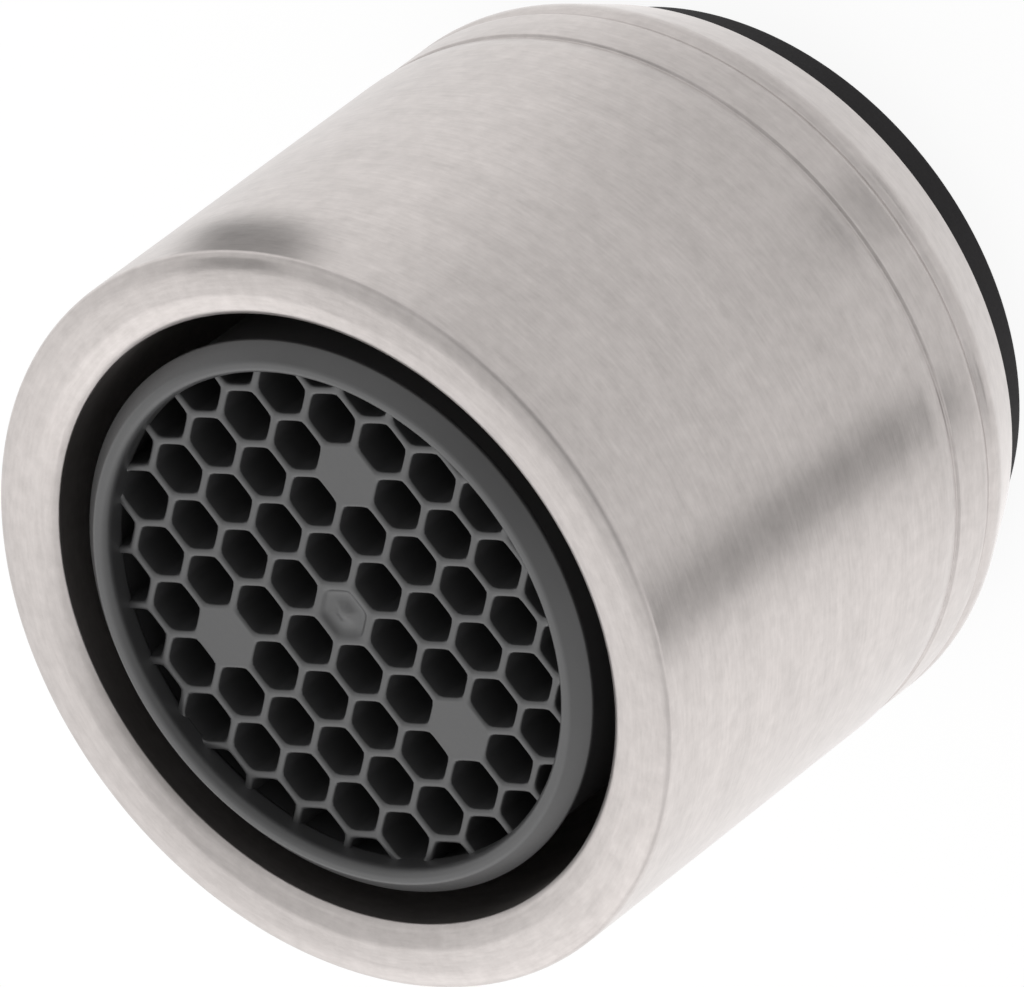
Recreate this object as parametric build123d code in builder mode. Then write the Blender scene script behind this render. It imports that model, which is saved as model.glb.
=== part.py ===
from build123d import *

import os
from math import hypot, isclose, sqrt

# A tap aerator that screws onto a spout with an outside thread. It stands on its washer, outlet up.
# Millimetres, Z up, axis on Z, and the washer's sealing face at Z = 0.

# Socket thread: M22 x 1, modelled as a plain bore at the minor diameter
thread_d = 22.0
thread_pitch = 1.0
internal_thread_depth_ratio = 0.5413
mouth_clearance = 0.05
socket_depth = 6.6
relief_width = 1.0
relief_clearance = 0.1

# Housing, outside
body_wall = 1.2
body_length = 15.55
rim_bevel_width = 0.5
rim_bevel_length = 0.13
rim_round = 0.12
shoulder_bevel_width = 0.1
shoulder_bevel_length = 0.6
groove_width = 0.15
groove_depth = 0.1
collar_step = 0.05
collar_length = 4.3
line_setback = 2.55
line_width = 0.45
line_depth = 0.05
taper_length = 2.1
lip_wall = 0.12

# Housing, inside
seat_width = 0.36
bore_bevel_width = 0.73
bore_bevel_depth = 0.3

# Sealing washer
washer_thickness = 3.0
washer_proud = 1.8
washer_clearance = 0.16
washer_width = 2.8
washer_edge = 0.1

# Nozzle casing
fit_clearance = 0.06
air_gap = 0.95
nozzle_wall = 0.78
nozzle_setback = 0.03
nozzle_bevel = 0.5
nozzle_lip_length = 0.6
undercut_depth = 0.3
flange_thickness = 0.8
window_count = 6
window_width = 5.4
window_height = 2.4
window_setback = 1.1
snap_bead = 0.12
snap_bead_height = 0.3

# Honeycomb
cell_pitch = 1.855
cell_wall = 0.27
comb_recess = 0.68
comb_depth = 4.5
gate_d = 0.45
gate_height = 0.12

# Bar grids
insert_clearance = 0.07
grid_thickness = 1.4
grid_rim = 0.8
bar_width = 0.45
bar_height = 0.8
bar_pitch = 1.25

# Jet plate
cup_wall = 0.75
cup_depth = 1.8
floor_thickness = 0.8
jet_hole_d = 1.0
jet_rings = 2
inner_ring_jets = 6
jet_ring_pitch = 2.4
jet_margin = 0.7

# Strainer
strainer_wall = 0.6
strainer_flange = 0.75
skirt_depth = 0.7
hat_height = 2.6
hat_slope = 1.2
mesh_pitch = 0.85
mesh_hole = 0.55

# Radii worked out from the thread outwards and inwards
thread_r = thread_d / 2
minor_r = thread_r - internal_thread_depth_ratio * thread_pitch
mouth_r = thread_r + mouth_clearance
lip_r = mouth_r + lip_wall
relief_r = thread_r + relief_clearance
body_r = thread_r + body_wall
rim_r = body_r - rim_bevel_width
collar_r = body_r - collar_step
bore_r = minor_r - seat_width
flange_r = minor_r - fit_clearance
washer_r = minor_r - washer_clearance
nozzle_r = bore_r - air_gap
casing_r = nozzle_r - undercut_depth
opening_r = nozzle_r - nozzle_wall
insert_r = opening_r - insert_clearance
cup_r = insert_r - cup_wall
hat_r = cup_r - insert_clearance
skirt_r = hat_r - strainer_wall
hat_top_r = hat_r - hat_slope
mesh_r = hat_top_r - strainer_wall

# Heights, from the sealing face up to the outlet rim
lip_z = washer_proud
taper_z = lip_z + taper_length
line_z = lip_z + line_setback
groove_z = lip_z + collar_length
shoulder_z = groove_z + groove_width
rim_z = shoulder_z + body_length
seat_z = lip_z + socket_depth
casing_z = seat_z - flange_thickness
jet_plate_z = casing_z - flange_thickness
hat_z = jet_plate_z - strainer_wall
hat_top_z = hat_z - hat_height
crest_z = rim_z - nozzle_setback
comb_front_z = crest_z - comb_recess
comb_back_z = comb_front_z - comb_depth
lower_grid_z = comb_back_z - grid_thickness
upper_grid_z = lower_grid_z - grid_thickness

# Honeycomb lattice: flats face Y, so the columns along X stand closer than the rows along Y.
# Filled cells are named by column and row, and odd columns lie half a pitch off.
column_step = cell_pitch * sqrt(3) / 2
column_reach = int(opening_r / column_step) + 1
row_reach = int(opening_r / cell_pitch) + 1
cell_apothem = (cell_pitch - cell_wall) / 2
filled_cells = ((0, 0), (2, -2), (-3, -0.5), (1, 2.5))

open_cells = []
for column in range(-column_reach, column_reach + 1):
    for step in range(-row_reach, row_reach + 1):
        row = step + 0.5 * (column % 2)
        x = column * column_step
        y = row * cell_pitch
        if hypot(x, y) < opening_r + cell_wall and (column, row) not in filled_cells:
            open_cells.append((x, y))

# Housing: one turned sleeve
with BuildPart() as housing:
    with BuildSketch(Plane.XZ):
        with BuildLine():
            Polyline(
                (lip_r, lip_z),
                (collar_r, taper_z),
                (collar_r, line_z),
                (collar_r - line_depth, line_z + line_width / 2),
                (collar_r, line_z + line_width),
                (collar_r, groove_z),
                (collar_r - groove_depth, groove_z),
                (collar_r - groove_depth, shoulder_z),
                (body_r - shoulder_bevel_width, shoulder_z),
                (body_r, shoulder_z + shoulder_bevel_length),
                (body_r, rim_z - rim_bevel_length),
                (rim_r, rim_z),
                (bore_r + bore_bevel_width, rim_z),
                (bore_r, rim_z - bore_bevel_depth),
                (bore_r, seat_z),
                (relief_r, seat_z),
                (relief_r, seat_z - relief_width),
                (minor_r, seat_z - relief_width - (relief_r - minor_r)),
                (minor_r, lip_z + mouth_r - minor_r),
                (mouth_r, lip_z),
                close=True,
            )
        make_face()
    revolve(axis=Axis.Z)
    circles = housing.edges().filter_by(GeomType.CIRCLE)
    body_circles = circles.filter_by(lambda edge: isclose(edge.radius, body_r))
    fillet(body_circles.sort_by(Axis.Z)[-1], radius=rim_round)

# Sealing washer: flat rubber ring held by the mouth of the thread
with BuildPart() as sealing_washer:
    with BuildSketch():
        Circle(washer_r)
        Circle(washer_r - washer_width, mode=Mode.SUBTRACT)
    extrude(amount=washer_thickness)
    chamfer(sealing_washer.edges().filter_by(GeomType.CIRCLE), length=washer_edge)

# Nozzle casing: flanged sleeve with air windows, moulded in one with its honeycomb outlet
with BuildPart() as nozzle_casing:
    with BuildSketch(Plane.XZ):
        with BuildLine():
            Polyline(
                (opening_r, casing_z),
                (flange_r, casing_z),
                (flange_r, seat_z),
                (casing_r, seat_z),
                (casing_r, crest_z - nozzle_lip_length - undercut_depth),
                (nozzle_r, crest_z - nozzle_lip_length),
                (nozzle_r, crest_z - nozzle_bevel),
                (nozzle_r - nozzle_bevel, crest_z),
                (opening_r, crest_z),
                (opening_r, upper_grid_z),
                (opening_r - snap_bead, upper_grid_z - snap_bead_height / 2),
                (opening_r, upper_grid_z - snap_bead_height),
                close=True,
            )
        make_face()
    revolve(axis=Axis.Z)
    with BuildSketch(Plane.XY.offset(comb_back_z)):
        Circle(opening_r + nozzle_wall / 2)
        with Locations(*open_cells):
            RegularPolygon(cell_apothem, 6, major_radius=False, mode=Mode.SUBTRACT)
    extrude(amount=comb_depth)
    with BuildSketch(Plane.XY.offset(comb_front_z)):
        Circle(gate_d / 2)
    extrude(amount=gate_height)
    window_reach = casing_r - sqrt(insert_r**2 - (window_width / 2) ** 2)
    with BuildSketch(Plane.XY.offset(seat_z + window_setback)):
        with PolarLocations(casing_r, window_count):
            Rectangle(2 * window_reach, window_width)
    extrude(amount=window_height, mode=Mode.SUBTRACT)


def bar_grid(base_z, bar_angle):
    """Round grid with a full-height rim and parallel bars on its outlet side."""
    bar_count = int(2 * (insert_r - grid_rim) / bar_pitch)
    with BuildPart() as grid:
        with BuildSketch(Plane.XY.offset(base_z)):
            Circle(insert_r)
            Circle(insert_r - grid_rim, mode=Mode.SUBTRACT)
        extrude(amount=grid_thickness)
        with BuildSketch(Plane.XY.offset(base_z + grid_thickness - bar_height).rotated((0, 0, bar_angle))):
            with GridLocations(bar_pitch, 0, bar_count, 1):
                Rectangle(bar_width, 2 * insert_r)
            Circle(insert_r - grid_rim / 2, mode=Mode.INTERSECT)
        extrude(amount=bar_height)
    return grid


lower_grid = bar_grid(lower_grid_z, 0)
upper_grid = bar_grid(upper_grid_z, 90)

# Jet plate: flanged cup with rings of jet holes in its floor
with BuildPart() as jet_plate:
    with BuildSketch(Plane.XY.offset(jet_plate_z)):
        Circle(flange_r)
    extrude(amount=flange_thickness)
    with BuildSketch(Plane.XY.offset(casing_z)):
        Circle(insert_r)
    extrude(amount=cup_depth)
    with BuildSketch(Plane.XY.offset(jet_plate_z)):
        Circle(cup_r)
    extrude(amount=flange_thickness + cup_depth - floor_thickness, mode=Mode.SUBTRACT)
    with BuildSketch(Plane.XY.offset(casing_z + cup_depth)):
        for ring in range(jet_rings):
            ring_r = cup_r - jet_margin - jet_hole_d / 2 - ring * jet_ring_pitch
            with PolarLocations(ring_r, inner_ring_jets * (jet_rings - ring)):
                Circle(jet_hole_d / 2)
    extrude(amount=-floor_thickness, mode=Mode.SUBTRACT)

# Strainer: flat-topped hat with a mesh in its top, a flange on the jet plate and a skirt in its cup
with BuildPart() as strainer:
    with BuildSketch(Plane.XZ):
        with BuildLine():
            Polyline(
                (0, hat_top_z),
                (hat_top_r, hat_top_z),
                (hat_r, hat_z),
                (hat_r + strainer_flange, hat_z),
                (hat_r + strainer_flange, jet_plate_z),
                (hat_r, jet_plate_z),
                (hat_r, jet_plate_z + skirt_depth),
                (skirt_r, jet_plate_z + skirt_depth),
                (skirt_r, hat_z),
                (mesh_r, hat_top_z + strainer_wall),
                (0, hat_top_z + strainer_wall),
                close=True,
            )
        make_face()
    revolve(axis=Axis.Z)
    mesh_count = int(2 * mesh_r / mesh_pitch)
    mesh_places = []
    for place in GridLocations(mesh_pitch, mesh_pitch, mesh_count, mesh_count):
        if place.position.length < mesh_r - mesh_pitch:
            mesh_places.append(place)
    with BuildSketch(Plane.XY.offset(hat_top_z)):
        with Locations(*mesh_places):
            Rectangle(mesh_hole, mesh_hole)
    extrude(amount=strainer_wall, mode=Mode.SUBTRACT)

os.makedirs("parts", exist_ok=True)
pieces = {
    "housing": housing,
    "sealing_washer": sealing_washer,
    "nozzle_casing": nozzle_casing,
    "upper_grid": upper_grid,
    "lower_grid": lower_grid,
    "jet_plate": jet_plate,
    "strainer": strainer,
}
for name, piece in pieces.items():
    piece.part.label = name
    export_step(piece.part, f"parts/{name}.step")
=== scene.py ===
import logging
import math
from dataclasses import dataclass, field
from enum import Enum
from typing import Any

import bmesh
import bpy
import numpy as np
from mathutils import Matrix, Vector


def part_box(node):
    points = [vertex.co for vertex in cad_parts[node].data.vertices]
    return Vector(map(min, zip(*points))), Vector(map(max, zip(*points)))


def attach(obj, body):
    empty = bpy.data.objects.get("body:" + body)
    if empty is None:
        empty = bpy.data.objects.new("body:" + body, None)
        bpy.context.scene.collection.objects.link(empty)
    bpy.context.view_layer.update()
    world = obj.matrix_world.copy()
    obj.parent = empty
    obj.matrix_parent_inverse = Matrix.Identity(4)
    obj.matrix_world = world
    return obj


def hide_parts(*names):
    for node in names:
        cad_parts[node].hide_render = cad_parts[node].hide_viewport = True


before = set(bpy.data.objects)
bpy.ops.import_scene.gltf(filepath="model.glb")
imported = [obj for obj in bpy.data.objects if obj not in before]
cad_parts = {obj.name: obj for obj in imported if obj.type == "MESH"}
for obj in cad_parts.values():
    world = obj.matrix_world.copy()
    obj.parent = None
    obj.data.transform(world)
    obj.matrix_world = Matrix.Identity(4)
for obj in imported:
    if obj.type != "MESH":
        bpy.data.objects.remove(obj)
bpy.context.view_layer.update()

# A tap aerator, standing on its washer with the outlet up. Sizes are in millimetres and the axis is on Z.
# The meshes are in metres.
MM = 0.001
WELD_DISTANCE = 0.0008
SAME_POINT = 1e-6
BUMP_DISTANCE = 0.02
CORNER_STEPS = 6
LOG = logging.getLogger("tap_aerator")

Colour = tuple[float, float, float]
Pair = tuple[float, float]
Triple = tuple[float, float, float]
Socket = bpy.types.NodeSocket


class Slot(Enum):
    """Material slots that the part's record names."""

    STEEL = "brushed_stainless"
    RUBBER = "black_rubber"
    GREY = "grey_plastic"


@dataclass
class Surface:
    """Closed surface in millimetres: vertex rows, and quads and triangles that index them."""

    points: np.ndarray
    quads: np.ndarray
    triangles: np.ndarray = field(default_factory=lambda: np.empty((0, 3), dtype=int))

    @staticmethod
    def joined(parts: list["Surface"]) -> "Surface":
        """Puts several surfaces into one list of points and faces.

        Args:
            parts: The surfaces, in the order that their points will have.

        Returns:
            One surface with every point and face.
        """
        starts = np.cumsum([0] + [len(part.points) for part in parts[:-1]])
        return Surface(
            np.concatenate([part.points for part in parts]),
            np.concatenate([part.quads + start for part, start in zip(parts, starts)]),
            np.concatenate([part.triangles + start for part, start in zip(parts, starts)]),
        )

    def piece(self, name: str, crease_deg: float) -> bpy.types.Object:
        """Makes the surface a smooth-shaded object that rides on the root body.

        Args:
            name: Name of the object and its mesh.
            crease_deg: Edges that turn by more than this stay sharp.

        Returns:
            The object, at the origin.
        """
        mesh = bpy.data.meshes.new(name)
        mesh.from_pydata((self.points * MM).tolist(), [], self.quads.tolist() + self.triangles.tolist())
        welded = bmesh.new()
        welded.from_mesh(mesh)
        bmesh.ops.remove_doubles(welded, verts=welded.verts, dist=WELD_DISTANCE * MM)
        welded.to_mesh(mesh)
        welded.free()
        mesh.polygons.foreach_set("use_smooth", np.ones(len(mesh.polygons), dtype=bool))
        mesh.set_sharp_from_angle(angle=math.radians(crease_deg))
        piece = bpy.data.objects.new(name, mesh)
        bpy.context.scene.collection.objects.link(piece)
        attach(piece, "root")
        LOG.info("%s: %d faces", name, len(mesh.polygons))
        return piece


def ring_quads(rows: int, columns: int) -> np.ndarray:
    """Quads of a grid that closes on itself both along its rows and round its columns.

    Args:
        rows: Number of rows, along the outline.
        columns: Number of columns, round the axis.

    Returns:
        Four point numbers a face, outward for an outline that runs up its outside.
    """
    row, column = np.meshgrid(np.arange(rows), np.arange(columns), indexing="ij")
    here = row * columns
    above = (row + 1) % rows * columns
    beside = (column + 1) % columns
    corners = [here + column, here + beside, above + beside, above + column]
    return np.stack(corners, axis=-1).reshape(-1, 4)


def turned(radii: np.ndarray, heights: np.ndarray, segments: int) -> Surface:
    """Carries a closed outline round the axis: x = r cos a, y = r sin a, z = h.

    Args:
        radii: Radius of each outline point, or of each point and angle.
        heights: Height of each outline point.
        segments: Steps round the axis.

    Returns:
        A closed ring.
    """
    angle = np.linspace(0.0, 2.0 * np.pi, segments, endpoint=False)
    radius = np.broadcast_to(radii if radii.ndim == 2 else radii[:, None], (len(heights), segments))
    height = np.broadcast_to(heights[:, None], radius.shape)
    points = np.stack([radius * np.cos(angle), radius * np.sin(angle), height], axis=-1)
    return Surface(points.reshape(-1, 3), ring_quads(len(heights), segments))


def softened(corners: np.ndarray, cuts: np.ndarray, steps: int = CORNER_STEPS) -> np.ndarray:
    """Rounds the corners of a closed outline.

    Each corner is cut back by a length on both sides, and the parabola
    (1 - u)^2 A + 2 u (1 - u) C + u^2 B bridges the cut, with C the old corner.

    Args:
        corners: Outline points; the first and last are neighbours.
        cuts: Length cut back at each corner, 0 for a sharp one.
        steps: Points on each bridge.

    Returns:
        The outline with the bridges in place of its corners.
    """
    before = np.roll(corners, 1, axis=0) - corners
    after = np.roll(corners, -1, axis=0) - corners
    start = corners + before / np.linalg.norm(before, axis=1, keepdims=True) * cuts[:, None]
    end = corners + after / np.linalg.norm(after, axis=1, keepdims=True) * cuts[:, None]
    u = np.linspace(0.0, 1.0, steps)[None, :, None]
    bridges = (1 - u) ** 2 * start[:, None] + 2 * u * (1 - u) * corners[:, None] + u**2 * end[:, None]
    points = bridges.reshape(-1, 2)
    fresh = np.linalg.norm(points - np.roll(points, 1, axis=0), axis=1) > SAME_POINT
    return points[fresh]


class NodeSheet:
    """Node tree of a material or of the world, with short calls to add and join nodes."""

    def __init__(self, tree: bpy.types.NodeTree, output: str) -> None:
        """Empties the tree and gives it an output node.

        Args:
            tree: The node tree.
            output: Blender's name of the output node's type.
        """
        self.tree = tree
        self.tree.nodes.clear()
        self.output = self.add(output)

    def add(self, kind: str, sockets: dict[Any, Any] | None = None, **settings: Any) -> bpy.types.Node:
        """Adds a node.

        Args:
            kind: Blender's name of the node type.
            sockets: Input name or number to a constant, or to an output socket to join.
            **settings: Properties of the node.

        Returns:
            The node.
        """
        node = self.tree.nodes.new(kind)
        for key, value in settings.items():
            setattr(node, key, value)
        for key, value in (sockets or {}).items():
            if isinstance(value, Socket):
                self.tree.links.new(value, node.inputs[key])
            else:
                node.inputs[key].default_value = value
        return node

    def number(self, operation: str, *values: Any) -> Socket:
        """Number that a math operation makes of numbers or sockets."""
        return self.add("ShaderNodeMath", dict(enumerate(values)), operation=operation).outputs[0]

    def vector(self, operation: str, *values: Any) -> Socket:
        """Vector that a vector operation makes of vectors or sockets."""
        return self.add("ShaderNodeVectorMath", dict(enumerate(values)), operation=operation).outputs[0]

    def measure(self, operation: str, *values: Any) -> Socket:
        """Number that a vector operation makes of vectors or sockets."""
        node = self.add("ShaderNodeVectorMath", dict(enumerate(values)), operation=operation)
        return node.outputs["Value"]

    def millimetres(self) -> Socket:
        """Object coordinates in millimetres."""
        place = self.add("ShaderNodeTexCoord").outputs["Object"]
        return self.add("ShaderNodeVectorMath", {0: place, "Scale": 1.0 / MM}, operation="SCALE").outputs[0]

    def noise(self, place: Socket, scale: float, detail: float, gain: float = 0.5) -> Socket:
        """Noise from 0 to 1, in which each finer octave is as strong as the last times the gain."""
        sockets = {"Vector": place, "Scale": scale, "Detail": detail, "Roughness": gain}
        return self.add("ShaderNodeTexNoise", sockets).outputs[0]

    def spread(self, value: Socket, low: float, high: float) -> Socket:
        """Maps 0..1 to low..high."""
        return self.add("ShaderNodeMapRange", {0: value, "To Min": low, "To Max": high}).outputs[0]

    def ramp(self, value: Socket, span: Pair, ends: Pair) -> Socket:
        """Maps a span of a value to two ends, with a smooth start and stop."""
        sockets = {0: value, "From Min": span[0], "From Max": span[1], "To Min": ends[0], "To Max": ends[1]}
        return self.add("ShaderNodeMapRange", sockets, interpolation_type="SMOOTHSTEP").outputs[0]

    def tone(self, value: Socket, dark: Colour, light: Colour) -> Socket:
        """Mixes two colours by a value, through the mix node's colour sockets 6, 7 and 2."""
        mix = self.add("ShaderNodeMix", {0: value, 6: (*dark, 1.0), 7: (*light, 1.0)}, data_type="RGBA")
        return mix.outputs[2]

    def level(self, value: Socket, low: Any, high: Any) -> Socket:
        """Mixes two numbers or sockets by a value, through the mix node's number sockets 2 and 3."""
        return self.add("ShaderNodeMix", {0: value, 2: low, 3: high}).outputs[0]

    def join(self, shader: bpy.types.Node) -> None:
        """Joins the shader to the output."""
        self.tree.links.new(shader.outputs[0], self.output.inputs["Surface"])


class MaterialSheet(NodeSheet):
    """Node tree of a new material."""

    def __init__(self, name: str) -> None:
        """Starts an empty material with an output.

        Args:
            name: Name of the material.
        """
        self.material = bpy.data.materials.new(name)
        self.material.use_nodes = True
        super().__init__(self.material.node_tree, "ShaderNodeOutputMaterial")

    def finish(self, shader: bpy.types.Node) -> bpy.types.Material:
        """Joins the shader to the output and gives the material."""
        self.join(shader)
        return self.material


@dataclass(frozen=True)
class TurnedSteel:
    """Brushed stainless steel: fine lines and wider bands round its axis, and a faint grain.

    The lines and the bands have the along, the across and the detail of their noise.
    """

    name: str
    dark: Colour
    light: Colour
    roughness: float
    line_bump: float
    anisotropy: float = 0.55
    brushing_turn: float = 0.25
    lines: Triple = (16.0, 9.0, 3.0)
    bands: Triple = (1.6, 0.9, 2.0)
    streak_gain: float = 0.6
    grain_per_mm: float = 1.8
    grain_detail: float = 3.0
    grain_gain: float = 0.65
    shade_span: Pair = (0.9, 2.1)
    roughness_spread: Pair = (-0.04, 0.05)

    def lathe_noise(self, sheet: NodeSheet, along: float, across: float, detail: float) -> Socket:
        """Noise drawn out round the axis: its place is (a cos t, a sin t, b z) and b r.

        Args:
            sheet: Node tree to add to.
            along: How fast the noise changes round the axis.
            across: How fast it changes per millimetre along the axis or the radius.
            detail: Octaves of finer noise.

        Returns:
            The noise, from 0 to 1.
        """
        place = sheet.millimetres()
        flat = sheet.vector("MULTIPLY", place, (1, 1, 0))
        radius = sheet.measure("LENGTH", flat)
        heading = sheet.vector("NORMALIZE", flat)
        rise = sheet.vector("MULTIPLY", place, (0, 0, across))
        drawn = sheet.vector("MULTIPLY_ADD", heading, (along, along, 0), rise)
        reach = sheet.number("MULTIPLY", radius, across)
        noise = sheet.add(
            "ShaderNodeTexNoise",
            {"Vector": drawn, "W": reach, "Scale": 1.0, "Detail": detail, "Roughness": self.streak_gain},
            noise_dimensions="4D",
        )
        return noise.outputs[0]

    def material(self) -> bpy.types.Material:
        """Builds the material: streaks in colour, in roughness and in a shallow bump.

        Returns:
            The material.
        """
        sheet = MaterialSheet(self.name)
        lines = self.lathe_noise(sheet, *self.lines)
        bands = self.lathe_noise(sheet, *self.bands)
        grain = sheet.noise(sheet.millimetres(), self.grain_per_mm, self.grain_detail, self.grain_gain)
        shade = sheet.number("ADD", sheet.number("ADD", lines, bands), grain)
        sockets = {0: shade, "From Min": self.shade_span[0], "From Max": self.shade_span[1]}
        shade = sheet.add("ShaderNodeMapRange", sockets).outputs[0]
        bump = sheet.add(
            "ShaderNodeBump", {"Height": lines, "Strength": self.line_bump, "Distance": BUMP_DISTANCE * MM}
        ).outputs[0]
        tangent = sheet.add("ShaderNodeTangent", direction_type="RADIAL", axis="Z").outputs[0]
        smoothest, roughest = [self.roughness + change for change in self.roughness_spread]
        steel = sheet.add(
            "ShaderNodeBsdfPrincipled",
            {
                "Base Color": sheet.tone(shade, self.dark, self.light),
                "Metallic": 1.0,
                "Roughness": sheet.spread(bands, smoothest, roughest),
                "Anisotropic": self.anisotropy,
                "Anisotropic Rotation": self.brushing_turn,
                "Tangent": tangent,
                "Normal": bump,
            },
        )
        return sheet.finish(steel)


@dataclass(frozen=True)
class Moulding:
    """Moulded plastic or rubber with a faint mottle and a fine skin."""

    name: str
    dark: Colour
    light: Colour
    roughness: float
    skin_bump: float
    specular: float = 0.45
    ior: float = 1.5
    mottle_mm: float = 1.4
    mottle_detail: float = 4.0
    mottle_gain: float = 0.6
    skin_per_mm: float = 9.0
    skin_detail: float = 3.0
    roughness_spread: float = 0.06

    def material(self) -> bpy.types.Material:
        """Builds the material: mottled colour, uneven roughness and a fine-grained bump.

        Returns:
            The material.
        """
        sheet = MaterialSheet(self.name)
        place = sheet.millimetres()
        mottle = sheet.noise(place, 1.0 / self.mottle_mm, self.mottle_detail, self.mottle_gain)
        skin = sheet.noise(place, self.skin_per_mm, self.skin_detail)
        bump = sheet.add(
            "ShaderNodeBump", {"Height": skin, "Strength": self.skin_bump, "Distance": BUMP_DISTANCE * MM}
        ).outputs[0]
        smoothest = self.roughness - self.roughness_spread
        roughest = self.roughness + self.roughness_spread
        plastic = sheet.add(
            "ShaderNodeBsdfPrincipled",
            {
                "Base Color": sheet.tone(mottle, self.dark, self.light),
                "Roughness": sheet.spread(skin, smoothest, roughest),
                "IOR": self.ior,
                "Specular IOR Level": self.specular,
                "Normal": bump,
            },
        )
        return sheet.finish(plastic)


@dataclass
class TurnedHousing:
    """Steel sleeve, turned in one piece, with an M22 x 1 thread in its socket.

    A bevel has its width and its length along the axis, the groove its width and depth, the line its distance
    from the lip, its width and its depth, and the relief its width and clearance. The crown is the corner
    between the bore and the rim, given by its distance from each. The fields named rounds hold the lengths
    that are cut back at the corners of a form, from the lip up the outside and down the bore.
    """

    body_radius: float
    lip_height: float
    rim_height: float
    thread_radius: float = 11.0
    thread_pitch: float = 1.0
    thread_depth: float = 0.5413
    thread_rows: int = 16
    thread_crest: float = 0.25
    thread_flank: float = 0.625
    thread_end: float = 0.05
    thread_runout: float = 0.3
    rim_bevel: Pair = (0.5, 0.13)
    rim_rounds: Pair = (0.2, 0.16)
    shoulder_bevel: Pair = (0.1, 0.6)
    shoulder_lift: float = 0.02
    shoulder_rounds: Pair = (0.01, 0.3)
    groove: Pair = (0.15, 0.1)
    groove_lift: float = 0.03
    groove_rounds: Triple = (0.06, 0.05, 0.01)
    collar_step: float = 0.05
    collar_length: float = 4.3
    line: Triple = (2.4, 0.45, 0.1)
    line_rounds: Triple = (0.07, 0.05, 0.1)
    taper_length: float = 2.1
    taper_round: float = 0.2
    lip_wall: float = 0.12
    lip_round: float = 0.03
    mouth_clearance: float = 0.05
    seat_width: float = 0.36
    seat_rounds: Triple = (0.04, 0.05, 0.05)
    socket_depth: float = 6.6
    relief: Pair = (1.0, 0.1)
    bore_bevel: Pair = (0.73, 0.3)
    bore_crown: Pair = (0.18, 0.13)
    bore_rounds: Triple = (0.09, 0.12, 0.05)
    crease_deg: float = 32.0
    segments: int = 256

    @property
    def minor_radius(self) -> float:
        """Radius of the thread's crests."""
        return self.thread_radius - self.thread_depth

    @property
    def bore_radius(self) -> float:
        """Radius of the bore that the nozzle stands in."""
        return self.minor_radius - self.seat_width

    def outside(self) -> np.ndarray:
        """Outline from the lip up the outside, over the rim and down the bore to the socket's relief.

        Each corner has its radius, its height and the length that is cut back to round it.

        Returns:
            Radius and height of each point.
        """
        body, rim, bore = self.body_radius, self.rim_height, self.bore_radius
        collar = body - self.collar_step
        lip = self.lip_height
        line = lip + self.line[0]
        line_width, line_depth = self.line[1:]
        groove_width, groove_depth = self.groove
        groove = lip + self.collar_length
        shoulder = groove + groove_width
        seat = lip + self.socket_depth
        relief_width, relief_clearance = self.relief
        relief = self.thread_radius + relief_clearance
        relief_end = seat - relief_width - (relief - self.minor_radius)
        corners = np.array(
            [
                (self.thread_radius + self.mouth_clearance + self.lip_wall, lip, self.lip_round),
                (collar, lip + self.taper_length, self.taper_round),
                (collar, line, self.line_rounds[0]),
                (collar - line_depth, line + line_width / 2, self.line_rounds[1]),
                (collar, line + line_width, self.line_rounds[2]),
                (collar, groove, self.groove_rounds[0]),
                (collar - groove_depth, groove + self.groove_lift, self.groove_rounds[1]),
                (collar - groove_depth, shoulder, self.groove_rounds[2]),
                (body - self.shoulder_bevel[0], shoulder + self.shoulder_lift, self.shoulder_rounds[0]),
                (body, shoulder + self.shoulder_bevel[1], self.shoulder_rounds[1]),
                (body, rim - self.rim_bevel[1], self.rim_rounds[0]),
                (body - self.rim_bevel[0], rim, self.rim_rounds[1]),
                (bore + self.bore_bevel[0], rim, self.bore_rounds[0]),
                (bore + self.bore_crown[0], rim - self.bore_crown[1], self.bore_rounds[1]),
                (bore, rim - self.bore_bevel[1], self.bore_rounds[2]),
                (bore, seat, self.seat_rounds[0]),
                (relief, seat, self.seat_rounds[1]),
                (relief, seat - relief_width, self.seat_rounds[2]),
                (self.minor_radius, relief_end, 0.0),
            ]
        )
        return softened(corners[:, :2], corners[:, 2])

    def surface(self) -> Surface:
        """Outline carried round the axis, with the thread cut into the socket's rows.

        The thread is a clipped triangle wave of z / pitch - a / 2 pi, which makes a right-hand helix.

        Returns:
            The sleeve as one closed ring.
        """
        outline = self.outside()
        minor = self.minor_radius
        mouth = self.thread_radius + self.mouth_clearance
        top = outline[-1, 1] - self.thread_end
        bottom = self.lip_height + (mouth - minor)
        rows = np.linspace(top, bottom, int((top - bottom) / self.thread_pitch * self.thread_rows) + 1)
        angle = np.linspace(0.0, 2.0 * np.pi, self.segments, endpoint=False)
        turn = rows[:, None] / self.thread_pitch - angle / (2.0 * np.pi)
        wave = np.abs(2.0 * (turn - np.floor(turn)) - 1.0)
        cut = np.clip((wave - self.thread_crest) / self.thread_flank, 0.0, 1.0)
        ends = np.clip(np.minimum(top - rows, rows - bottom) / self.thread_runout, 0.0, 1.0)[:, None]
        threaded = minor + self.thread_depth * cut * ends
        plain = np.repeat(outline[:, :1], self.segments, axis=1)
        mouth_edge = np.full((1, self.segments), mouth)
        radii = np.concatenate([plain, threaded, mouth_edge])
        heights = np.concatenate([outline[:, 1], rows, [self.lip_height]])
        return turned(radii, heights, self.segments)

    def build(self, steel: TurnedSteel) -> bpy.types.Object:
        """Makes the sleeve and gives it its steel.

        Args:
            steel: Finish of the sleeve.

        Returns:
            The sleeve.
        """
        sleeve = self.surface().piece("turned_housing", self.crease_deg)
        sleeve.data.materials.append(steel.material())
        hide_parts("housing")
        return sleeve


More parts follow.
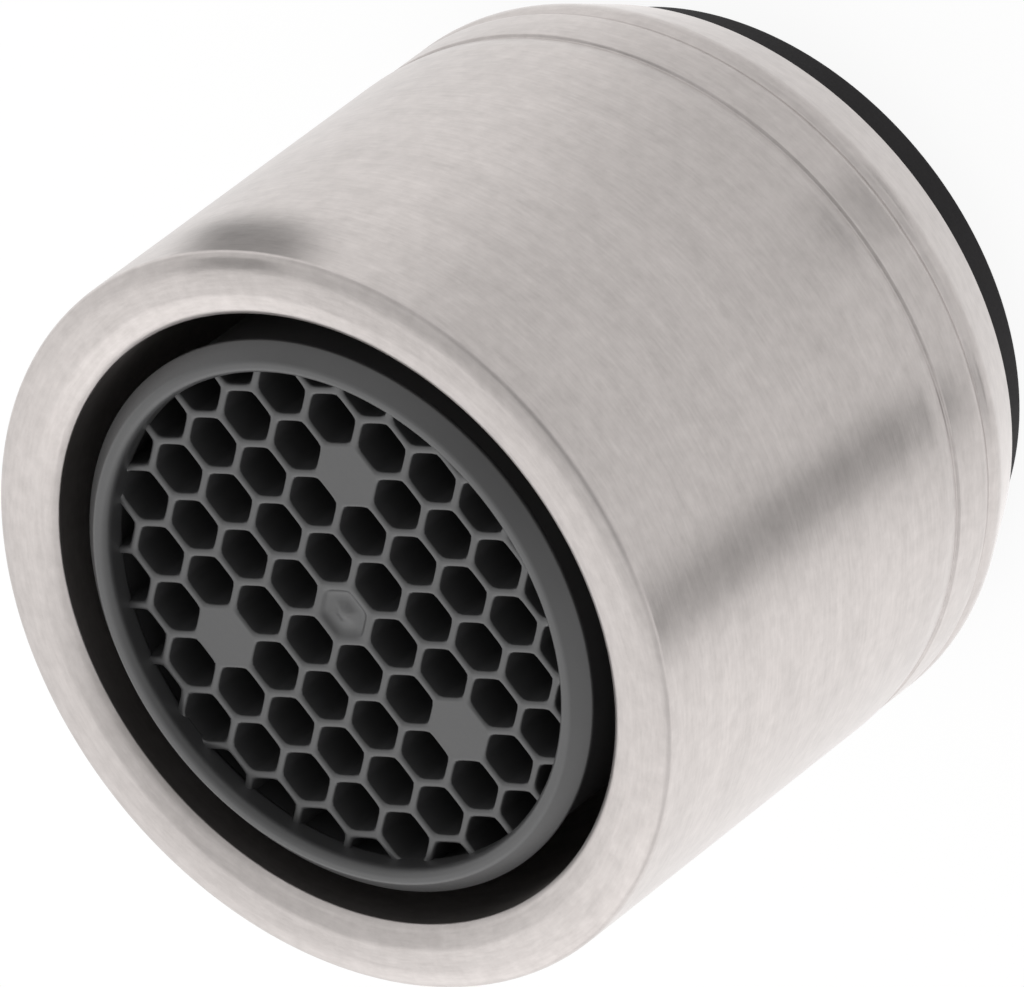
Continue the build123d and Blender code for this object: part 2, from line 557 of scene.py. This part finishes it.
@dataclass
class SealingWasher:
    """Flat rubber ring with pressed, slightly rounded edges."""

    outer_radius: float
    thickness: float
    width: float = 2.8
    edge: float = 0.12
    crease_deg: float = 40.0
    segments: int = 192

    def surface(self) -> Surface:
        """Rounded rectangle carried round the axis.

        Returns:
            The ring.
        """
        inner = self.outer_radius - self.width
        corners = np.array(
            [
                (self.outer_radius, 0.0),
                (self.outer_radius, self.thickness),
                (inner, self.thickness),
                (inner, 0.0),
            ]
        )
        outline = softened(corners, np.full(len(corners), self.edge))
        return turned(outline[:, 0], outline[:, 1], self.segments)

    def build(self, rubber: Moulding) -> bpy.types.Object:
        """Makes the ring and gives it its rubber.

        Args:
            rubber: Finish of the ring.

        Returns:
            The ring.
        """
        ring = self.surface().piece("rubber_washer", self.crease_deg)
        ring.data.materials.append(rubber.material())
        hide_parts("sealing_washer")
        return ring


@dataclass
class HoneycombNozzle:
    """Plastic sleeve with a flange and air windows, moulded in one with its honeycomb outlet.

    The mouth is narrowest between two depths, a window has its distance from the flange and its height, and
    the bead its depth and width. The fields named rounds hold the lengths that are cut back at the corners of
    a form. Filled cells are named by column and row. The rings of a filled cell have their inset and
    roundness, and those of the gate cell have their inset and rise.
    """

    flange_radius: float
    base_height: float
    crest_height: float
    bead_height: float
    nozzle_radius: float = 9.1487
    undercut: float = 0.3
    wall: float = 0.78
    lip_length: float = 0.6
    lip_rounds: Triple = (0.05, 0.04, 0.05)
    crest_bevel: float = 0.5
    crest_wall: float = 0.8
    crest_rounds: Pair = (0.08, 0.12)
    mouth_wall: float = 0.95
    mouth_depth: Pair = (0.22, 0.85)
    mouth_step: float = 0.2
    mouth_rounds: Triple = (0.12, 0.05, 0.05)
    flange: float = 0.8
    flange_round: float = 0.08
    inlet_round: float = 0.06
    sleeve_steps: int = 7
    windows: int = 6
    window_steps: int = 28
    window: Pair = (1.1, 2.4)
    bead: Pair = (0.12, 0.3)
    bead_round: float = 0.05
    pitch: float = 1.855
    lattice_reach: int = 7
    corner_power: int = 14
    cell_wall: float = 0.27
    recess: float = 0.68
    depth: float = 4.5
    wall_round: float = 0.1
    wall_flat: float = 0.25
    wall_ring: float = 1.5
    embed: float = 0.3
    filled: tuple[Pair, ...] = ((0, 0), (2, -2), (-3, -0.5), (1, 2.5))
    fill: tuple[Pair, ...] = ((0.0, 0.0), (0.12, 0.6), (0.3, 1.0), (0.6, 1.0), (0.8, 1.0), (0.9, 1.0))
    gate: tuple[Pair, ...] = (
        (0.0, 0.0), (0.06, -0.003), (0.11, -0.015), (0.15, -0.045), (0.19, -0.09),
        (0.24, -0.13), (0.3, -0.15), (0.4, -0.155), (0.52, -0.15), (0.6, -0.132),
        (0.68, -0.1), (0.76, -0.068), (0.84, -0.05), (0.9, -0.046),
    )
    crease_deg: float = 38.0
    segments: int = 288
    cell_points: int = 36

    @property
    def opening_radius(self) -> float:
        """Radius of the opening inside the sleeve."""
        return self.nozzle_radius - self.wall

    def sleeve(self) -> Surface:
        """Outline carried round the axis, with the window openings left out of both walls and lined.

        Each corner has its radius, its height and the length that is cut back to round it.

        Returns:
            The sleeve as one closed surface.
        """
        nozzle, crest = self.nozzle_radius, self.crest_height
        outer = nozzle - self.undercut
        opening = self.opening_radius
        mouth = nozzle - self.mouth_wall
        mouth_top, mouth_end = [crest - depth for depth in self.mouth_depth]
        seat = self.base_height + self.flange
        sill = seat + self.window[0]
        head = sill + self.window[1]
        bead, bead_width = self.bead
        corners = np.array(
            [
                (self.flange_radius, self.base_height, self.flange_round),
                (self.flange_radius, seat, self.flange_round),
                (outer, seat, self.flange_round),
                (outer, sill, 0.0),
                (outer, head, 0.0),
                (outer, crest - self.lip_length - self.undercut, self.lip_rounds[0]),
                (nozzle, crest - self.lip_length, self.lip_rounds[1]),
                (nozzle, crest - self.crest_bevel, self.lip_rounds[2]),
                (nozzle - self.crest_bevel, crest, self.crest_rounds[0]),
                (nozzle - self.crest_wall, crest, self.crest_rounds[1]),
                (mouth, mouth_top, self.mouth_rounds[0]),
                (mouth, mouth_end, self.mouth_rounds[1]),
                (opening, mouth_end - self.mouth_step, self.mouth_rounds[2]),
                (opening, self.bead_height, 0.0),
                (opening - bead, self.bead_height - bead_width / 2, self.bead_round),
                (opening, self.bead_height - bead_width, 0.0),
                (opening, head, 0.0),
                (opening, sill, 0.0),
                (opening, self.base_height, self.inlet_round),
            ]
        )
        outline = softened(corners[:, :2], corners[:, 2], self.sleeve_steps)
        ring = turned(outline[:, 0], outline[:, 1], self.segments)
        marks = np.array([(outer, sill), (outer, head), (opening, head), (opening, sill)])
        at = [int(np.argmin(np.hypot(*(outline - mark).T))) for mark in marks]
        out_sill, out_head, in_head, in_sill = [row * self.segments for row in at]
        starts = np.arange(self.windows) * (self.segments // self.windows) - self.window_steps // 2
        span = (starts[:, None] + np.arange(self.window_steps)).ravel() % self.segments
        beside = (span + 1) % self.segments
        ends = (starts + self.window_steps) % self.segments
        starts = starts % self.segments
        gone = np.isin(ring.quads[:, 0], np.concatenate([out_sill + span, in_head + span]))
        lining = np.concatenate(
            [
                np.stack([in_sill + span, out_sill + span, out_sill + beside, in_sill + beside], axis=1),
                np.stack([out_head + span, in_head + span, in_head + beside, out_head + beside], axis=1),
                np.stack([out_sill + ends, out_head + ends, in_head + ends, in_sill + ends], axis=1),
                np.stack([in_sill + starts, in_head + starts, out_head + starts, out_sill + starts], axis=1),
            ]
        )
        return Surface(ring.points, np.concatenate([ring.quads[~gone], lining]))

    def cells(self) -> tuple[np.ndarray, np.ndarray]:
        """Lattice of cells that covers the opening, with flats that face Y and odd columns half a pitch off.

        Returns:
            The centres, and for each cell whether it is open.
        """
        reach = np.arange(-self.lattice_reach, self.lattice_reach + 1)
        column, step = np.meshgrid(reach, reach, indexing="ij")
        row = step + 0.5 * (column % 2)
        centres = np.stack([column * math.sqrt(0.75), row], axis=-1).reshape(-1, 2) * self.pitch
        names = np.stack([column, row], axis=-1).reshape(-1, 2)
        distance = np.hypot(*centres.T)
        solid = (names[:, None] == np.array(self.filled)).all(axis=2).any(axis=1)
        is_open = (distance < self.opening_radius + self.cell_wall) & ~solid
        kept = distance < self.opening_radius + self.pitch / 2
        return centres[kept], is_open[kept]

    def rings(
        self, centres: np.ndarray, inset: np.ndarray, height: np.ndarray, soft: np.ndarray
    ) -> np.ndarray:
        """Rings of points round cell centres.

        A ring is the hexagon at a distance from the cell's border, r = (p / 2 - inset) / cos(a), with the
        angle a taken from the nearest flat. It turns into a hexagon with round corners, r over the norm of
        the six cosines by the corner power, as soft goes to 1. Past the opening the radius is pressed
        together, so that the edge of the comb stays inside the sleeve's wall.

        Args:
            centres: Cell centres.
            inset: Distance of each ring from the cell's border.
            height: Height of each ring.
            soft: Roundness of each ring's corners, from 0 to 1.

        Returns:
            Points by cell, ring and angle.
        """
        angle = np.linspace(0.0, 2.0 * np.pi, self.cell_points, endpoint=False)
        sharp = 1.0 / np.cos(angle % (np.pi / 3) - np.pi / 6)
        flats = np.cos(angle[:, None] - np.pi / 6 - np.arange(6) * np.pi / 3).clip(min=0.0)
        rounded = (flats**self.corner_power).sum(axis=1) ** (-1.0 / self.corner_power)
        factor = (1.0 - soft[:, None]) * sharp + soft[:, None] * rounded
        reach = (self.pitch / 2 - inset)[:, None] * factor
        x = centres[:, 0, None, None] + reach * np.cos(angle)
        y = centres[:, 1, None, None] + reach * np.sin(angle)
        radius = np.hypot(x, y)
        furthest = radius.max() - self.opening_radius
        pressed = self.opening_radius + (radius - self.opening_radius) * self.embed / furthest
        scale = np.where(radius > self.opening_radius, pressed / radius.clip(min=SAME_POINT), 1.0)
        z = np.broadcast_to(height[:, None], x.shape)
        return np.stack([x * scale, y * scale, z], axis=-1)

    def comb(self) -> Surface:
        """Honeycomb with rounded wall tops.

        An open cell is a stack of rings from its border, over a quarter ellipse, down its wall and out to
        the border at the back. A filled cell has rings to its middle in front and behind, and the middle
        one is dished round the nub that its moulding gate left.

        Returns:
            The comb as one closed surface.
        """
        centres, is_open = self.cells()
        front = self.crest_height - self.recess
        back = front - self.depth
        half = self.cell_wall / 2
        bend = np.linspace(0.0, np.pi / 2, CORNER_STEPS)
        top = self.wall_flat + (1.0 - self.wall_flat) * np.sin(bend)
        inset = np.concatenate([[0.0], half * top, [half, half, 0.0]])
        drop = self.wall_round * (1.0 - np.cos(bend))
        height = front - np.concatenate([[0.0], drop, [self.wall_ring, self.depth, self.depth]])
        soft = np.concatenate([[0.0], top, [1.0, 1.0, 0.0]])
        holes = self.rings(centres[is_open], inset, height, soft)
        middle = np.hypot(*centres.T) < self.cell_wall
        fill_inset, fill_soft = np.array(self.fill).T
        fill_height = np.full(len(fill_inset), front)
        plugs = self.rings(centres[~is_open & ~middle], fill_inset, fill_height, fill_soft)
        gate_inset, gate_rise = np.array(self.gate).T
        gate_soft = (gate_inset / half).clip(max=1.0)
        gate = self.rings(centres[middle], gate_inset, front + gate_rise, gate_soft)
        back_inset, back_soft = np.array([self.fill[-1], self.fill[0]]).T
        backs = self.rings(centres[~is_open], back_inset, np.full(2, back), back_soft)
        return Surface.joined(
            [
                self.stacked(holes),
                self.stacked(plugs),
                self.stacked(gate),
                self.stacked(backs),
                self.capped(plugs[:, -1], True),
                self.capped(gate[:, -1], True),
                self.capped(backs[:, 0], False),
                self.border(centres, front, back),
            ]
        )

    @staticmethod
    def stacked(rings: np.ndarray) -> Surface:
        """Quads between each ring of a cell and the next.

        Args:
            rings: Points by cell, ring and angle.

        Returns:
            The quads with their points.
        """
        cells, count, around = rings.shape[:3]
        grid = [np.arange(size) for size in (cells, count - 1, around)]
        cell, ring, point = np.meshgrid(*grid, indexing="ij")
        first = (cell * count + ring) * around
        second = first + around
        beside = (point + 1) % around
        quads = np.stack([first + point, first + beside, second + beside, second + point], axis=-1)
        return Surface(rings.reshape(-1, 3), quads.reshape(-1, 4))

    @staticmethod
    def capped(ring: np.ndarray, upward: bool) -> Surface:
        """Triangles from each cell's last ring to its middle.

        Args:
            ring: Points by cell and angle.
            upward: Whether the triangles face up.

        Returns:
            The triangles with their points.
        """
        cells, around = ring.shape[:2]
        cell, point = np.meshgrid(np.arange(cells), np.arange(around), indexing="ij")
        first = cell * around + point
        beside = cell * around + (point + 1) % around
        middle = cells * around + cell
        order = [first, beside, middle] if upward else [beside, first, middle]
        triangles = np.stack(order, axis=-1).reshape(-1, 3)
        points = np.concatenate([ring.reshape(-1, 3), ring.mean(axis=1)])
        return Surface(points, np.empty((0, 4), dtype=int), triangles)

    def border(self, centres: np.ndarray, front: float, back: float) -> Surface:
        """Wall round the comb's edge, on the cell sides that have no neighbour.

        Args:
            centres: Cell centres.
            front: Height of the comb's front.
            back: Height of its back.

        Returns:
            The wall, facing out.
        """
        toward = np.pi / 6 + np.arange(6) * np.pi / 3
        beyond = centres[:, None] + self.pitch * np.stack([np.cos(toward), np.sin(toward)], axis=-1)
        gap = np.linalg.norm(beyond[:, :, None] - centres, axis=-1).min(axis=2)
        per_side = self.cell_points // 6
        bare = np.repeat(gap > self.pitch / 2, per_side, axis=1)
        rings = self.rings(centres, np.zeros(2), np.array([back, front]), np.zeros(2))
        wall = self.stacked(rings)
        return Surface(wall.points, wall.quads[bare.ravel()])

    def build(self, plastic: Moulding) -> bpy.types.Object:
        """Makes the nozzle and gives it its plastic.

        Args:
            plastic: Finish of the nozzle.

        Returns:
            The nozzle.
        """
        nozzle = Surface.joined([self.sleeve(), self.comb()]).piece("honeycomb_nozzle", self.crease_deg)
        nozzle.data.materials.append(plastic.material())
        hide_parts("nozzle_casing")
        return nozzle


@dataclass
class InnerParts:
    """Jet plate, strainer and the two bar grids, which keep their solids."""

    pale: Moulding
    dark: Moulding

    def dress(self) -> None:
        """Gives each solid its plastic."""
        pale = self.pale.material()
        dark = self.dark.material()
        finishes = {"jet_plate": pale, "strainer": pale, "upper_grid": dark, "lower_grid": dark}
        for name, finish in finishes.items():
            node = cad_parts[name]
            node.data.materials.clear()
            node.data.materials.append(finish)
            LOG.info("%s: solid dressed in %s", name, finish.name)


@dataclass
class SoftLamp:
    """Rectangular area lamp that looks at a point on the axis. Its distances and sizes are in metres."""

    name: str
    azimuth_deg: float
    elevation_deg: float
    distance: float
    size: Pair
    power: float
    aim_height: float = 0.01

    def build(self) -> bpy.types.Object:
        """Puts the lamp at its direction from the object and turns it to the axis.

        Returns:
            The lamp.
        """
        azimuth, elevation = math.radians(self.azimuth_deg), math.radians(self.elevation_deg)
        heading = Vector(
            (
                math.cos(elevation) * math.sin(azimuth),
                -math.cos(elevation) * math.cos(azimuth),
                math.sin(elevation),
            )
        )
        data = bpy.data.lights.new(self.name, "AREA")
        data.shape = "RECTANGLE"
        data.size, data.size_y = self.size
        data.energy = self.power
        lamp = bpy.data.objects.new(self.name, data)
        lamp.location = heading * self.distance + Vector((0.0, 0.0, self.aim_height))
        lamp.rotation_euler = heading.to_track_quat("Z", "Y").to_euler()
        bpy.context.scene.collection.objects.link(lamp)
        return lamp


@dataclass
class PaintedReflectionCard:
    """Dark level card near the object, a painted dark reflection that shows only as a soft mark in the steel.

    Its middle line leaves the body's wall at the start direction and runs along the heading, at the lift's
    height, and the card begins on it at the near distance. Directions are in degrees from -Y towards -X.
    The fades are shares of the card's width, from its middle, and of its length.
    """

    name: str
    start_deg: float
    heading_deg: float
    near: float
    length: float
    widths: Pair
    depth: float
    soft_start: float = 0.2
    tone: float = 0.2
    wall_radius: float = 12.2
    lift: float = 0.02
    side_fade: Pair = (0.12, 0.5)
    end_fade: Pair = (0.6, 1.0)
    grid: tuple[int, int] = (13, 5)

    @staticmethod
    def toward(degrees: float) -> np.ndarray:
        """Level direction at an angle from -Y."""
        return np.array([-math.sin(math.radians(degrees)), -math.cos(math.radians(degrees))])

    def build(self) -> bpy.types.Object:
        """Lays the card, whose width goes evenly from its first to its second value.

        Its points are its start + v length along + s w(v) / 2 across, with v and s as its UV map.

        Returns:
            The card.
        """
        rows, columns = self.grid
        v, s = np.meshgrid(np.linspace(0.0, 1.0, rows), np.linspace(-1.0, 1.0, columns), indexing="ij")
        along, across = self.toward(self.heading_deg), self.toward(self.heading_deg + 90.0)
        start = self.wall_radius * self.toward(self.start_deg) + self.near * along
        width = self.widths[0] + (self.widths[1] - self.widths[0]) * v
        level = start + (self.length * v)[..., None] * along + (0.5 * width * s)[..., None] * across
        points = np.concatenate([level, np.full((*v.shape, 1), self.lift)], axis=-1).reshape(-1, 3)
        row, column = np.meshgrid(np.arange(rows - 1), np.arange(columns - 1), indexing="ij")
        first = (row * columns + column).ravel()
        quads = np.stack([first, first + columns, first + columns + 1, first + 1], axis=1)
        mesh = bpy.data.meshes.new(self.name)
        mesh.from_pydata((points * MM).tolist(), [], quads.tolist())
        uv = np.stack([0.5 + 0.5 * s.ravel(), v.ravel()], axis=1)
        mesh.uv_layers.new(name="card").data.foreach_set("uv", uv[quads.ravel()].ravel())
        mesh.materials.append(self.material())
        card = bpy.data.objects.new(self.name, mesh)
        # Hidden from every ray but glossy ones, so the card is only a painted reflection in the steel.
        card.visible_camera = False
        card.visible_diffuse = False
        card.visible_shadow = False
        card.visible_transmission = False
        bpy.context.scene.collection.objects.link(card)
        return card

    def material(self) -> bpy.types.Material:
        """Painted dark reflection: dark in the middle of the card, and clear towards its edges and ends.

        Returns:
            The material.
        """
        sheet = MaterialSheet(self.name)
        place = sheet.add("ShaderNodeTexCoord").outputs["UV"]
        split = sheet.add("ShaderNodeSeparateXYZ", {0: place}).outputs
        off = sheet.number("ABSOLUTE", sheet.number("SUBTRACT", split[0], 0.5))
        beside = sheet.ramp(off, self.side_fade, (self.depth, 0.0))
        start = sheet.ramp(split[1], (0.0, self.soft_start), (0.0, 1.0))
        end = sheet.ramp(split[1], self.end_fade, (1.0, 0.0))
        # Mask of the painted dark reflection, fading towards the card's edges and ends.
        painted_reflection_mask = sheet.number("MULTIPLY", sheet.number("MULTIPLY", start, end), beside)
        clear = sheet.add("ShaderNodeBsdfTransparent").outputs[0]
        # The card's faint glow is a painted dark reflection, not a lamp.
        dark = sheet.add("ShaderNodeEmission", {"Strength": self.tone}).outputs[0]
        return sheet.finish(sheet.add("ShaderNodeMixShader", {0: painted_reflection_mask, 1: clear, 2: dark}))


@dataclass(frozen=True)
class Shade:
    """Darker place in the surround: its direction, how much darker it is, and the cosines where it fades."""

    toward: Triple
    depth: float
    span: Pair


@dataclass
class Studio:
    """Pale floor with painted shadow and light that only steel and plastic see, white surround that is
    brighter behind the object, soft lamps, and dark cards that paint reflections in the steel.

    The floor's reach is in metres.
    """

    floor_reach: float = 3.0
    floor_colour: float = 0.9
    camera_lift: float = 0.88
    camera_white: float = 1.04
    glossy_lift: float = 0.75
    floor_sides: float = 1.4
    floor_front: float = 0.97
    front_span: Pair = (0.25, 0.97)
    floor_slope: float = -0.1
    floor_foot: float = 0.4
    foot_radius: Pair = (12.2, 14.5)
    surround: float = 0.86
    surround_slope: Triple = (-0.1, 0.2, 0.0)
    shades: tuple[Shade, ...] = (
        Shade(toward=(0.0, -0.713, 0.701), depth=0.25, span=(0.75, 0.98)),
        Shade(toward=(0.34, 0.53, 0.78), depth=0.3, span=(0.92, 0.995)),
        Shade(toward=(0.06, 0.26, 0.964), depth=0.32, span=(0.913, 0.9945)),
    )

    def floor(self) -> bpy.types.Object:
        """Flat pale sheet under the washer, lifted to white where it is seen.

        Steel and plastic see painted shade and light in it: a painted shadow in front of the object, on the
        side that faces away from the light, and painted light close round the foot.

        Returns:
            The floor.
        """
        edge = self.floor_reach
        corners = [(-edge, -edge, 0), (edge, -edge, 0), (edge, edge, 0), (-edge, edge, 0)]
        mesh = bpy.data.meshes.new("floor")
        mesh.from_pydata(corners, [], [(0, 1, 2, 3)])
        sheet = MaterialSheet("floor_paper")
        place = sheet.millimetres()
        # Painted shadow and painted light in the floor's glow, which only glossy and transmission rays see.
        heading = sheet.vector("NORMALIZE", place)
        facing = sheet.measure("DOT_PRODUCT", heading, (0, -1, 0))
        level = sheet.ramp(facing, self.front_span, (self.floor_sides, self.floor_front))
        foot = sheet.ramp(sheet.measure("LENGTH", place), self.foot_radius, (self.floor_foot, 0.0))
        level = sheet.number("ADD", level, foot)
        # Painted light that makes the floor's glow brighter to one side, for steel and plastic only.
        aside = sheet.measure("DOT_PRODUCT", heading, (self.floor_slope, 0, 0))
        level = sheet.number("ADD", level, aside)
        path = sheet.add("ShaderNodeLightPath").outputs
        level = sheet.level(path["Is Camera Ray"], level, self.camera_white)
        mirrored = sheet.number("MAXIMUM", path["Is Glossy Ray"], path["Is Transmission Ray"])
        lift = sheet.number("MULTIPLY", mirrored, self.glossy_lift)
        lift = sheet.level(path["Is Camera Ray"], lift, self.camera_lift)
        paper = sheet.add("ShaderNodeBsdfDiffuse", {"Color": (self.floor_colour,) * 3 + (1.0,)}).outputs[0]
        glow = sheet.add("ShaderNodeEmission", {"Strength": level}).outputs[0]
        shown = sheet.add("ShaderNodeMixShader", {0: lift, 1: paper, 2: glow})
        mesh.materials.append(sheet.finish(shown))
        floor = bpy.data.objects.new("floor", mesh)
        bpy.context.scene.collection.objects.link(floor)
        return floor

    def world(self) -> None:
        """Soft surround, white to the camera.

        Its level rises evenly along one direction and falls off round each of a few darker places.
        """
        world = bpy.data.worlds.new("surround")
        bpy.context.scene.world = world
        world.use_nodes = True
        sheet = NodeSheet(world.node_tree, "ShaderNodeOutputWorld")
        heading = sheet.add("ShaderNodeTexCoord").outputs["Generated"]
        slope = sheet.measure("DOT_PRODUCT", heading, self.surround_slope)
        level = sheet.number("ADD", slope, self.surround)
        for shade in self.shades:
            near = sheet.measure("DOT_PRODUCT", heading, shade.toward)
            level = sheet.number("SUBTRACT", level, sheet.ramp(near, shade.span, (0.0, shade.depth)))
        camera = sheet.add("ShaderNodeLightPath").outputs["Is Camera Ray"]
        level = sheet.level(camera, level, 1.0)
        sky = sheet.add("ShaderNodeBackground", {"Color": (1.0, 1.0, 1.0, 1.0), "Strength": level})
        sheet.join(sky)

    @staticmethod
    def cards() -> list[PaintedReflectionCard]:
        """Cards that paint dark reflections in the steel: the stripe along the body, the spot beside the rim,
        the rim's bevel and the collar.

        Returns:
            The cards.
        """
        return [
            PaintedReflectionCard(
                "streak_card", start_deg=27.5, heading_deg=55.0, near=5.5, length=43.0,
                widths=(5.0, 26.0), depth=0.82, soft_start=0.05,
            ),
            PaintedReflectionCard(
                "corner_card", start_deg=-68.4, heading_deg=-79.0, near=0.6, length=6.0,
                widths=(10.0, 12.0), depth=0.95, lift=17.8,
            ),
            PaintedReflectionCard(
                "rim_card", start_deg=-60.0, heading_deg=-151.0, near=0.0, length=5.4,
                widths=(3.2, 3.2), depth=0.8, lift=24.9,
            ),
            PaintedReflectionCard(
                "collar_card", start_deg=-1.0, heading_deg=-1.0, near=3.5, length=2.8,
                widths=(6.0, 6.6), depth=0.95,
            ),
        ]

    @staticmethod
    def lamps() -> list[SoftLamp]:
        """Large lamp behind the object and a small one beside it.

        Returns:
            The lamps.
        """
        return [
            SoftLamp(
                "back_softbox", azimuth_deg=180.0, elevation_deg=50.0,
                distance=0.3, size=(0.5, 0.4), power=0.12,
            ),
            SoftLamp(
                "side_softbox", azimuth_deg=214.0, elevation_deg=30.0,
                distance=0.3, size=(0.25, 0.25), power=0.05,
            ),
        ]

    def build(self) -> None:
        """Makes the floor, the surround, the cards and the lamps."""
        self.floor()
        self.world()
        for part in (*self.cards(), *self.lamps()):
            part.build()
            LOG.info("stage %s", part.name)


@dataclass
class PhotoCamera:
    """Camera at the photograph's angle: a long lens that looks down at the outlet, and rolled.

    The clip distances are in metres.
    """

    place: Triple = (-0.193, -445.99, 450.77)
    elevation_deg: float = 44.506
    roll_deg: float = -127.33
    lens: float = 730.8
    sensor_width: float = 36.0
    clip: Pair = (0.01, 20.0)

    def build(self) -> bpy.types.Object:
        """Puts the camera in its place.

        Its back axis rises by the elevation over -Y, and the roll turns right and up round that axis.

        Returns:
            The camera.
        """
        elevation, roll = math.radians(self.elevation_deg), math.radians(self.roll_deg)
        level_right = Vector((1.0, 0.0, 0.0))
        level_up = Vector((0.0, math.sin(elevation), math.cos(elevation)))
        back = Vector((0.0, -math.cos(elevation), math.sin(elevation)))
        right = level_right * math.cos(roll) + level_up * math.sin(roll)
        up = back.cross(right)
        data = bpy.data.cameras.new("photo_camera")
        data.lens = self.lens
        data.sensor_width = self.sensor_width
        data.clip_start, data.clip_end = self.clip
        camera = bpy.data.objects.new("photo_camera", data)
        turn = Matrix((right, up, back)).transposed().to_4x4()
        camera.matrix_world = Matrix.Translation(Vector(self.place) * MM) @ turn
        bpy.context.scene.collection.objects.link(camera)
        bpy.context.scene.camera = camera
        return camera


def main() -> None:
    """Builds the aerator's pieces, the studio and the camera."""
    logging.basicConfig(level=logging.INFO, format="%(name)s %(message)s")
    bpy.context.scene.view_settings.view_transform = "Standard"
    PhotoCamera().build()

    steel = TurnedSteel(
        "brushed_steel", dark=(0.46, 0.428, 0.414), light=(0.645, 0.602, 0.584),
        roughness=0.32, line_bump=0.25,
    )
    grey = Moulding(
        "grey_nozzle_plastic", dark=(0.03, 0.03, 0.031), light=(0.042, 0.042, 0.043),
        roughness=0.42, skin_bump=0.12, specular=1.0, ior=1.54,
    )
    dark = Moulding(
        "dark_grid_plastic", dark=(0.03, 0.03, 0.03), light=(0.045, 0.045, 0.045),
        roughness=0.45, skin_bump=0.1,
    )
    pale = Moulding(
        "pale_cartridge_plastic", dark=(0.62, 0.62, 0.60), light=(0.72, 0.72, 0.70),
        roughness=0.4, skin_bump=0.1,
    )
    rubber = Moulding(
        "black_washer_rubber", dark=(0.008, 0.007, 0.008), light=(0.014, 0.012, 0.013),
        roughness=0.65, skin_bump=0.3, specular=0.25,
    )

    low, high = [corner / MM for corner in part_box("housing")]
    TurnedHousing(body_radius=high.x, lip_height=low.z, rim_height=high.z).build(steel)
    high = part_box("sealing_washer")[1] / MM
    SealingWasher(outer_radius=high.x, thickness=high.z).build(rubber)
    low, high = [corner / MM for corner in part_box("nozzle_casing")]
    bead_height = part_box("upper_grid")[0].z / MM
    HoneycombNozzle(
        flange_radius=high.x, base_height=low.z, crest_height=high.z, bead_height=bead_height
    ).build(grey)
    InnerParts(pale, dark).dress()
    Studio().build()


if __name__ == "__main__":
    main()
